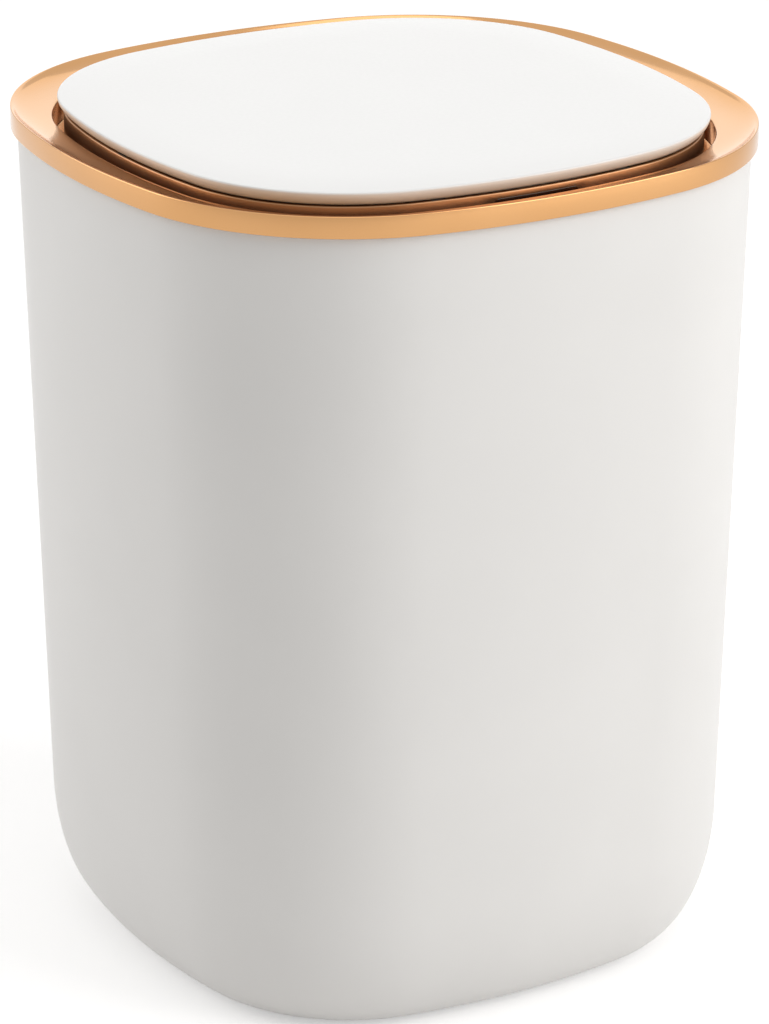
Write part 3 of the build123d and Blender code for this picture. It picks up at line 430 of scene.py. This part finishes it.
outer_low, inner_low = (COLLAR_OUT, GROOVE_Z - OVERLAP), (COLLAR_IN, GROOVE_Z - OVERLAP)
outer_high, inner_high = (COLLAR_OUT, COLLAR_TOP), (COLLAR_IN, COLLAR_TOP)
collar_line = [outer_low]
collar_line += rounded(outer_low, outer_high, inner_high, COLLAR_ROUND)
collar_line += rounded(outer_high, inner_high, inner_low, COLLAR_ROUND)
collar_line += [inner_low]
collar = spun_band("rim_collar", collar_line, COLLAR_END)
carve(collar, slot_prism(WINDOW_LENGTH + WINDOW_SEAM, WINDOW_HEIGHT + WINDOW_SEAM))
finish_piece(collar, RIM_SMOOTH)

lip_line = [(COLLAR_OUT, UNDER_Z + OVERLAP), (COLLAR_IN, UNDER_Z + OVERLAP),
            (COLLAR_IN, LIP_FOOT), (COLLAR_OUT, LIP_FOOT)]
lip = spun_band("rim_lower_lip", lip_line, LIP_END)
for part in (rim, collar, lip):
    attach(part, "lid_head")
    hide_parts("gold_rim")

# %% [markdown]
# ## Sensor window
# A strip of dark acrylic that lets infrared through fills the hole and follows the collar's curve.
# It is cut from a spun band with the same round-ended prism, and its edge gets a fine bevel, which
# shows as the thin bright line round a real cemented window.

# %% Window strip
WINDOW_PROUD = 0.15  # how far the strip stands out of the collar
STRIP_HALF = 3.0
STRIP_END = -60
WINDOW_BEVEL = 0.12

strip_out, strip_low, strip_high = COLLAR_OUT + WINDOW_PROUD, WINDOW_Z - STRIP_HALF, WINDOW_Z + STRIP_HALF
window_line = [(strip_out, strip_high), (strip_out, strip_low), (COLLAR_IN, strip_low),
               (COLLAR_IN, strip_high)]
window = spun_band("window_strip", window_line, STRIP_END)
carve(window, slot_prism(WINDOW_LENGTH, WINDOW_HEIGHT), "INTERSECT")
edge = window.modifiers.new("edge", "BEVEL")
edge.width = WINDOW_BEVEL * MM
edge.segments = 2
edge.limit_method = "ANGLE"
edge.angle_limit = math.radians(50)
bpy.ops.object.modifier_apply(modifier="edge")
finish_piece(window, 30)
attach(window, "lid_head")
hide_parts("sensor_window")

# %% [markdown]
# ## Lid
# The lid is a flat glossy shell. Its edge is a tight round on top and then curves in to a foot, so
# that it seems to float in the rim. The section is spun, and the top and the inside are closed
# flat. The two knuckle notches at the rear are cut with short cylinders on the hinge line.

# %% Lid shell
LID_HALF, LID_TOP = 101.9, RIM_Z + 2.9
FOOT_HALF, FOOT_Z = 98.7, RIM_Z - 1.9
SKIN, SKIRT_WALL = 2.2, 2.3
FLAT_INSET = 20  # the flats inside this are closed with one face
LID_SMOOTH = 40
KNUCKLE_X, HINGE_Z = 22, RIM_Z - 2
NOTCH_RADIUS, NOTCH_LENGTH = 3.3, 4.6

flat_in, brow = (LID_HALF - FLAT_INSET, LID_TOP), (LID_HALF, LID_TOP)
skirt_in = FOOT_HALF - SKIRT_WALL
lid_line = [flat_in]
lid_line += rounded(flat_in, brow, (LID_HALF, LID_TOP - 3), 0.6, 6)
lid_line += curved((LID_HALF, LID_TOP - 0.65), (LID_HALF, LID_TOP - 1.9),
                   (FOOT_HALF + 1.75, FOOT_Z + 0.85), (FOOT_HALF + 0.15, FOOT_Z + 0.1), 8)
lid_line += [(FOOT_HALF - 0.1, FOOT_Z), (skirt_in, FOOT_Z)]
lid_line += [(skirt_in, LID_TOP - SKIN), (FOOT_HALF - FLAT_INSET, LID_TOP - SKIN)]
lid = draw_section("lid_shell", lid_line)
spin_round()
close_rings(lid)
face_outwards()
finish_piece(lid, LID_SMOOTH)
for sign in (-1, 1):
    deselect_all()
    place = (sign * KNUCKLE_X * MM, HINGE_Y * MM, HINGE_Z * MM)
    bpy.ops.mesh.primitive_cylinder_add(vertices=48, radius=NOTCH_RADIUS * MM, depth=NOTCH_LENGTH * MM,
                                        rotation=(0, math.pi / 2, 0), location=place)
    notch = bpy.context.active_object
    bpy.ops.object.transform_apply(location=True, rotation=True)
    carve(lid, notch)
finish_piece(lid, LID_SMOOTH)
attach(lid, "lid")
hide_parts("lid_top")

# %% [markdown]
# ## Tools for the finishes
# Every finish is a node tree. One function writes a colour as it is picked on screen and turns it
# to the linear value that the shader needs. One function adds a node, sets it and links it.
# Patterns read Object coordinates in metres, so a size in millimetres becomes a scale by dividing
# 1000 by it.

# %% Colour, nodes, patterns
def linear(code):
    """An sRGB hex colour as linear RGBA."""
    parts = [int(code[k:k + 2], 16) / 255 for k in (1, 3, 5)]
    return [v / 12.92 if v <= 0.04045 else ((v + 0.055) / 1.055) ** 2.4 for v in parts] + [1]


def add(owner, kind, values=None, links=None, **settings):
    """Adds a node to a material or world, sets its properties and sockets, and links into it."""
    tree = owner.node_tree
    node = tree.nodes.new("ShaderNode" + kind)
    for name, value in settings.items():
        setattr(node, name, value)
    for socket, value in (values or {}).items():
        node.inputs[socket].default_value = value
    for socket, source in (links or {}).items():
        tree.links.new(source, node.inputs[socket])
    return node


def new_finish(name):
    """An empty material with its place on the object, its shader and its output."""
    material = bpy.data.materials.new(name)
    material.use_nodes = True
    material.node_tree.nodes.clear()
    place = add(material, "TexCoord").outputs["Object"]
    shader = add(material, "BsdfPrincipled")
    add(material, "OutputMaterial", links={"Surface": shader.outputs[0]})
    return material, place, shader


def lead_in(material, shader, tone, gloss, relief):
    """Leads the three outputs of a finish into its shader."""
    for socket, source in (("Base Color", tone), ("Roughness", gloss), ("Normal", relief)):
        material.node_tree.links.new(source, shader.inputs[socket])


def per_mm(size):
    return 1000 / size


print("finish tools ready")

# %% [markdown]
# ## White plastics
# The bucket is moulded polypropylene with a fine spark texture, which scatters light so that the
# wall has a broad, soft sheen. The lid is glossier, as a moulding from a polished tool is. Both
# vary a little in tone over several centimetres, where the melt cooled unevenly. The real texture's
# pits are about 0.1 mm, too fine for this picture, so they are drawn at 0.5 to 1.6 mm and kept
# shallow. The plastics of the inner pieces are made the same way.

# %% Moulded plastics
MELT_MM = 70  # over which the tone drifts
PLASTIC_IOR = 1.5


def moulded(name, light, dark, pit_mm, depth_mm, rough, drift=0.06, clear=0.0):
    """Moulded plastic: slow drift of tone and gloss, and a fine tool texture."""
    material, place, shader = new_finish(name)
    flow = add(material, "TexNoise", {"Scale": per_mm(MELT_MM), "Detail": 2, "Distortion": 0.4},
               {"Vector": place})
    tone = add(material, "ValToRGB", links={"Fac": flow.outputs["Fac"]})
    low, high = tone.color_ramp.elements
    low.position, low.color = 0.3, linear(dark)
    high.position, high.color = 0.7, linear(light)
    pits = add(material, "TexNoise", {"Scale": per_mm(pit_mm), "Detail": 3, "Roughness": 0.6},
               {"Vector": place})
    gloss = add(material, "MapRange", {"From Min": 0.3, "From Max": 0.7, "To Min": rough - drift,
                                       "To Max": rough + drift}, {"Value": pits.outputs["Fac"]})
    relief = add(material, "Bump", {"Strength": 0.6, "Distance": depth_mm * MM},
                 {"Height": pits.outputs["Fac"]})
    shader.inputs["IOR"].default_value = PLASTIC_IOR
    shader.inputs["Coat Weight"].default_value = clear
    shader.inputs["Coat Roughness"].default_value = 0.08
    lead_in(material, shader, tone.outputs["Color"], gloss.outputs["Result"], relief.outputs["Normal"])
    return material


finishes = {
    # spark-eroded tool: a broad, soft sheen and no reflections
    "white_body": moulded("spark_textured_polypropylene_white", "#eeece9", "#ebe9e6", 0.7, 0.010, 0.42),
    # polished tool: clean and smooth, with faint soft reflections
    "white_lid": moulded("polished_abs_white", "#ecebe9", "#eae9e7", 1.6, 0.002, 0.24, 0.03, 0.05),
    # satin tool: even and a little duller than the outside
    "white_inner": moulded("satin_abs_white", "#edebe7", "#e6e3de", 0.8, 0.012, 0.38),
    # the same in grey: soft and slightly waxy
    "grey_inner": moulded("satin_polypropylene_grey", "#a9a9a6", "#9d9d99", 0.8, 0.014, 0.42),
    # rubber: dark and nearly matt
    "pad_rubber": moulded("moulded_rubber_grey", "#4b4a48", "#3d3c3a", 0.5, 0.03, 0.72, 0.1),
    # nylon with glass fibre: near black, with a dry, uneven gloss
    "black_moulded": moulded("glass_filled_nylon_black", "#2b2b2c", "#1f1f20", 0.5, 0.02, 0.46, 0.1),
    # acetal: ivory, smooth and slippery
    "gear_acetal": moulded("cut_acetal_natural", "#efece0", "#e2ddcc", 0.6, 0.008, 0.34),
    # sintered nylon: warmer ivory, matt and slightly open
    "bush_nylon": moulded("sintered_nylon_ivory", "#dcd6c4", "#cfc8b4", 0.4, 0.015, 0.5),
    # soft PVC: smooth grey with a low sheen
    "lead_grey": moulded("flat_pvc_lead_grey", "#8d8f92", "#7d7f82", 0.6, 0.012, 0.48),
}
print("plastics:", ", ".join(sorted(finishes)))

# %% [markdown]
# ## Gold plating
# The rim is a plastic moulding plated with chrome and a warm gold tint. A mirror plate shows what
# is round it, so it gets its look from the pale floor, the white lid and the dark groove. Its
# colour is the pale gold seen where the band faces the floor. Fine polishing marks and a slow
# drift of tone break the mirror up, as on real plating. Real marks are finer than 0.1 mm, so they
# are drawn at 0.3 to 2.2 mm to show at all. The other metals are made the same way.

# %% Metals
CLOUD_MM = 45  # over which the tone drifts


def plated(name, light, dark, mark_mm, depth_mm, rough, drift, stretch=(1, 1, 1)):
    """Metal with polishing or machining marks, drawn out along an axis where its scale is small."""
    material, place, shader = new_finish(name)
    lie = add(material, "Mapping", {"Scale": stretch}, {"Vector": place})
    marks = add(material, "TexNoise", {"Scale": per_mm(mark_mm), "Detail": 4, "Roughness": 0.55},
                {"Vector": lie.outputs["Vector"]})
    cloud = add(material, "TexNoise", {"Scale": per_mm(CLOUD_MM), "Detail": 1}, {"Vector": place})
    tone = add(material, "ValToRGB", links={"Fac": cloud.outputs["Fac"]})
    low, high = tone.color_ramp.elements
    low.position, low.color = 0.3, linear(dark)
    high.position, high.color = 0.7, linear(light)
    gloss = add(material, "MapRange", {"From Min": 0.3, "From Max": 0.7, "To Min": rough - drift,
                                       "To Max": rough + drift}, {"Value": marks.outputs["Fac"]})
    relief = add(material, "Bump", {"Strength": 0.5, "Distance": depth_mm * MM},
                 {"Height": marks.outputs["Fac"]})
    shader.inputs["Metallic"].default_value = 1.0
    lead_in(material, shader, tone.outputs["Color"], gloss.outputs["Result"], relief.outputs["Normal"])
    return material


finishes.update({
    # chrome under a gold tint: an almost clean mirror in pale gold
    "gold_plate": plated("gold_tinted_chrome_plate", "#d4a26f", "#ce9c69", 2.2, 0.0012, 0.12, 0.03),
    # zinc plate: pale bluish grey, finely frosted
    "screw_steel": plated("zinc_plated_steel", "#c9cbd0", "#b8bac0", 0.3, 0.004, 0.3, 0.08),
    # ground steel: fine lines that draw the highlights out
    "shaft_steel": plated("ground_steel", "#c4c5c8", "#b4b5b9", 0.4, 0.003, 0.24, 0.06, (0.1, 1, 1)),
    # drawn steel: the same lines, duller and softer
    "motor_can": plated("drawn_steel_can", "#bfc1c5", "#adafb4", 0.5, 0.004, 0.33, 0.07, (0.15, 1, 1)),
    # nickel: bright warm grey
    "contact_nickel": plated("stamped_nickel_plate", "#d6d1c8", "#c6c0b6", 0.5, 0.003, 0.25, 0.06),
    # brass from the lathe: yellow, with turning marks
    "gear_brass": plated("machined_brass", "#d9b46b", "#c9a258", 0.3, 0.003, 0.28, 0.06, (0.2, 1, 1)),
})
# painted shade: the collar and lower lip get a darker brown gold for the groove they stand in, on a
# rougher plate
recess_shade_gold = plated("gold_plate_painted_recess_shade", "#ab8462", "#a17a59", 0.6, 0.01, 0.36, 0.05)
print("metals:", len(finishes), "finishes so far")

# %% [markdown]
# ## Window, diodes, boards and cells
# The window and the diodes are clear plastics with dye in them: smoked acrylic that only looks
# black-brown, and epoxy. A printed board is glass cloth under green mask, where copper tracks show
# as slightly lighter lines. The cells have a printed sleeve, kept plain here, with a low sheen.

# %% Dark window, diodes, board, cell sleeve
DYE_FLOW_MM = 9
ACRYLIC_IOR = 1.49
TRACK_MM, TRACK_LENGTH_MM, WEAVE_MM = 1.3, 3.9, 0.5


def dyed(name, light, dark, rough, clear, through):
    """Dyed clear plastic with faint flow lines."""
    material, place, shader = new_finish(name)
    flow = add(material, "TexNoise", {"Scale": per_mm(DYE_FLOW_MM), "Detail": 2}, {"Vector": place})
    tone = add(material, "ValToRGB", links={"Fac": flow.outputs["Fac"]})
    low, high = tone.color_ramp.elements
    low.position, low.color = 0.35, linear(dark)
    high.position, high.color = 0.65, linear(light)
    gloss = add(material, "MapRange", {"To Min": rough, "To Max": rough + 0.06},
                {"Value": flow.outputs["Fac"]})
    relief = add(material, "Bump", {"Strength": 0.3, "Distance": 0.004 * MM},
                 {"Height": flow.outputs["Fac"]})
    shader.inputs["IOR"].default_value = ACRYLIC_IOR
    shader.inputs["Coat Weight"].default_value = clear
    shader.inputs["Transmission Weight"].default_value = through
    lead_in(material, shader, tone.outputs["Color"], gloss.outputs["Result"], relief.outputs["Normal"])
    return material


def masked_board(name):
    """Green solder mask over a woven laminate, with lighter tracks between the rows."""
    material, place, shader = new_finish(name)
    tracks = add(material, "TexBrick", {"Scale": per_mm(1), "Mortar Size": 0.18,
                                        "Brick Width": TRACK_LENGTH_MM, "Row Height": TRACK_MM,
                                        "Color1": linear("#1f5a38"), "Color2": linear("#246440"),
                                        "Mortar": linear("#3a7d52")}, {"Vector": place})
    weave = add(material, "TexNoise", {"Scale": per_mm(WEAVE_MM), "Detail": 2}, {"Vector": place})
    gloss = add(material, "MapRange", {"To Min": 0.25, "To Max": 0.4}, {"Value": weave.outputs["Fac"]})
    relief = add(material, "Bump", {"Strength": 0.4, "Distance": 0.02 * MM},
                 {"Height": tracks.outputs["Fac"]})
    lead_in(material, shader, tracks.outputs["Color"], gloss.outputs["Result"], relief.outputs["Normal"])
    return material


finishes.update({
    # smoked acrylic: a glossy brown-black
    "window_dark": dyed("smoked_infrared_acrylic", "#2a1510", "#1d0d0a", 0.06, 0.3, 0.0),
    # clear epoxy: a small glassy bead
    "diode_clear": dyed("water_clear_epoxy", "#eef3f5", "#e2e9ec", 0.05, 0.0, 0.75),
    # epoxy that keeps daylight out: a violet-black bead
    "diode_dark": dyed("daylight_filter_epoxy", "#1b1420", "#120d16", 0.08, 0.2, 0.0),
    # printed film: plain green-grey with a low sheen
    "cell_sleeve": dyed("printed_cell_sleeve", "#3c5a57", "#31504d", 0.2, 0.4, 0.0),
    # solder mask: green, with its tracks a little lighter
    "board_green": masked_board("solder_mask_green"),
})
print("finishes:", len(finishes))

# %% [markdown]
# ## Give every piece its finish
# The record names a material slot for each CAD node. New pieces take the slot of the node they
# stand for, and the CAD nodes that stay keep their shape and only get the finish of their slot.

# %% Assign finishes by slot
DRESSED = {"bucket": [bucket], "gold_rim": [rim, collar, lip], "sensor_window": [window],
           "lid_top": [lid]}

for entry in frame["record"]["subparts"]:
    node, finish = entry["node"], finishes[entry["material_slot"]]
    for piece in DRESSED.get(node, []) + [frame["nodes"][node]]:
        if len(piece.material_slots) == 0:
            piece.data.materials.append(finish)
        for place in piece.material_slots:
            place.material = finish
# the collar and lower lip take the darker gold, painted shade of the recess
for piece in (collar, lip):
    piece.material_slots[0].material = recess_shade_gold

# %% [markdown]
# ## Floor and backdrop
# The photograph has plain white all round. A large pale floor carries the bin's shadow. For rays
# that come straight from the camera, or by way of metal or glass, a little white is added to it, so
# that the open floor is white in the picture while the light that it throws back on the bin stays
# that of a pale grey floor.

# %% Floor
FLOOR_SIZE = 6
FLOOR_Z = -0.05 * MM  # just clear of the pads' faces
FIBRE_MM = 2.5
FLOOR_LIFT = 0.42
WHITE = (1, 1, 1, 1)


def seen_ray(owner):
    """One for rays straight from the camera or by way of metal or glass, and else nought."""
    ray = add(owner, "LightPath")
    seen = add(owner, "Math", links={0: ray.outputs["Is Camera Ray"], 1: ray.outputs["Is Glossy Ray"]},
               operation="MAXIMUM")
    seen = add(owner, "Math", links={0: seen.outputs[0], 1: ray.outputs["Is Transmission Ray"]},
               operation="MAXIMUM")
    return seen.outputs[0]


deselect_all()
bpy.ops.mesh.primitive_plane_add(size=FLOOR_SIZE, location=(0, 0, FLOOR_Z))
floor = bpy.context.active_object
floor.name = "studio_floor"
floor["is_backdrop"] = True

paper = bpy.data.materials.new("studio_paper")
paper.use_nodes = True
paper.node_tree.nodes.clear()
place = add(paper, "TexCoord").outputs["Object"]
fibre = add(paper, "TexNoise", {"Scale": per_mm(FIBRE_MM)}, {"Vector": place})
gloss = add(paper, "MapRange", {"To Min": 0.85, "To Max": 0.95}, {"Value": fibre.outputs["Fac"]})
matt = add(paper, "BsdfPrincipled", {"Base Color": linear("#e6e5e4"), "Specular IOR Level": 0.1},
           {"Roughness": gloss.outputs["Result"]})
lift = add(paper, "Emission", {"Color": WHITE, "Strength": FLOOR_LIFT})
lifted = add(paper, "AddShader", links={0: matt.outputs[0], 1: lift.outputs[0]})
choice = add(paper, "MixShader", links={"Fac": seen_ray(paper), 1: matt.outputs[0],
                                        2: lifted.outputs[0]})
add(paper, "OutputMaterial", links={"Surface": choice.outputs[0]})
floor.data.materials.append(paper)
print("floor", floor.dimensions.x, "m wide")

# %% [markdown]
# ## The white around
# Beyond the floor there is only white. The world is plain white where it is seen, and dimmer where
# it only lights, so that it fills the shadows without washing the bin out.

# %% World
WORLD_FILL = 0.38

world = bpy.data.worlds.new("studio_world")
bpy.context.scene.world = world
world.use_nodes = True
world.node_tree.nodes.clear()
fill = add(world, "Background", {"Color": WHITE, "Strength": WORLD_FILL})
white = add(world, "Background", {"Color": WHITE, "Strength": 1.0})
choice = add(world, "MixShader", links={"Fac": seen_ray(world), 1: fill.outputs[0],
                                        2: white.outputs[0]})
add(world, "OutputWorld", links={"Surface": choice.outputs[0]})
bpy.context.scene.view_settings.view_transform = "Standard"
print("world fill", WORLD_FILL)

# %% [markdown]
# ## Lamps
# The bucket's corner towards the camera is its darkest part, and the face towards the right is its
# brightest, so the studio had one large soft light at the right front and a weaker one at the left
# rear. A third, low behind the bin, is what the dished top mirrors at its left and right corners. A
# fourth, above, keeps the lid clean white. All are large and plain, so the gold shows broad bright
# patches and no lamp shapes.

# %% Four soft lights
LAMP_AIM = Vector((0, 0, 0.15))
LAMP_DISTANCE = 2.2


def soft_light(name, azimuth, elevation, size, power):
    """A square lamp at that bearing in degrees, turned towards the bin's middle."""
    bpy.ops.object.light_add(type="AREA")
    lamp = bpy.context.active_object
    lamp.name = name
    way = bearing(math.radians(azimuth), math.radians(elevation))
    lamp.location = LAMP_AIM + way * LAMP_DISTANCE
    lamp.rotation_euler = (-way).to_track_quat("-Z", "Y").to_euler()
    lamp.data.shape = "SQUARE"
    lamp.data.size = size
    lamp.data.energy = power
    print(name, "at", [round(v, 2) for v in lamp.location], "power", power)


deselect_all()
soft_light("light_right", 38, 28, 1.6, 25.5)
soft_light("light_left", -135, 28, 1.4, 15)
soft_light("light_behind", 152, 18, 1.6, 3.5)
soft_light("light_above", 10, 80, 1.8, 10)

# %% Sizes and finish
visual_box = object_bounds()
boxes = {"cad": [list(corner) for corner in cad_box], "visual": [list(corner) for corner in visual_box]}
for name, corners in boxes.items():
    print(name, [round(v / MM, 2) for corner in corners for v in corner])
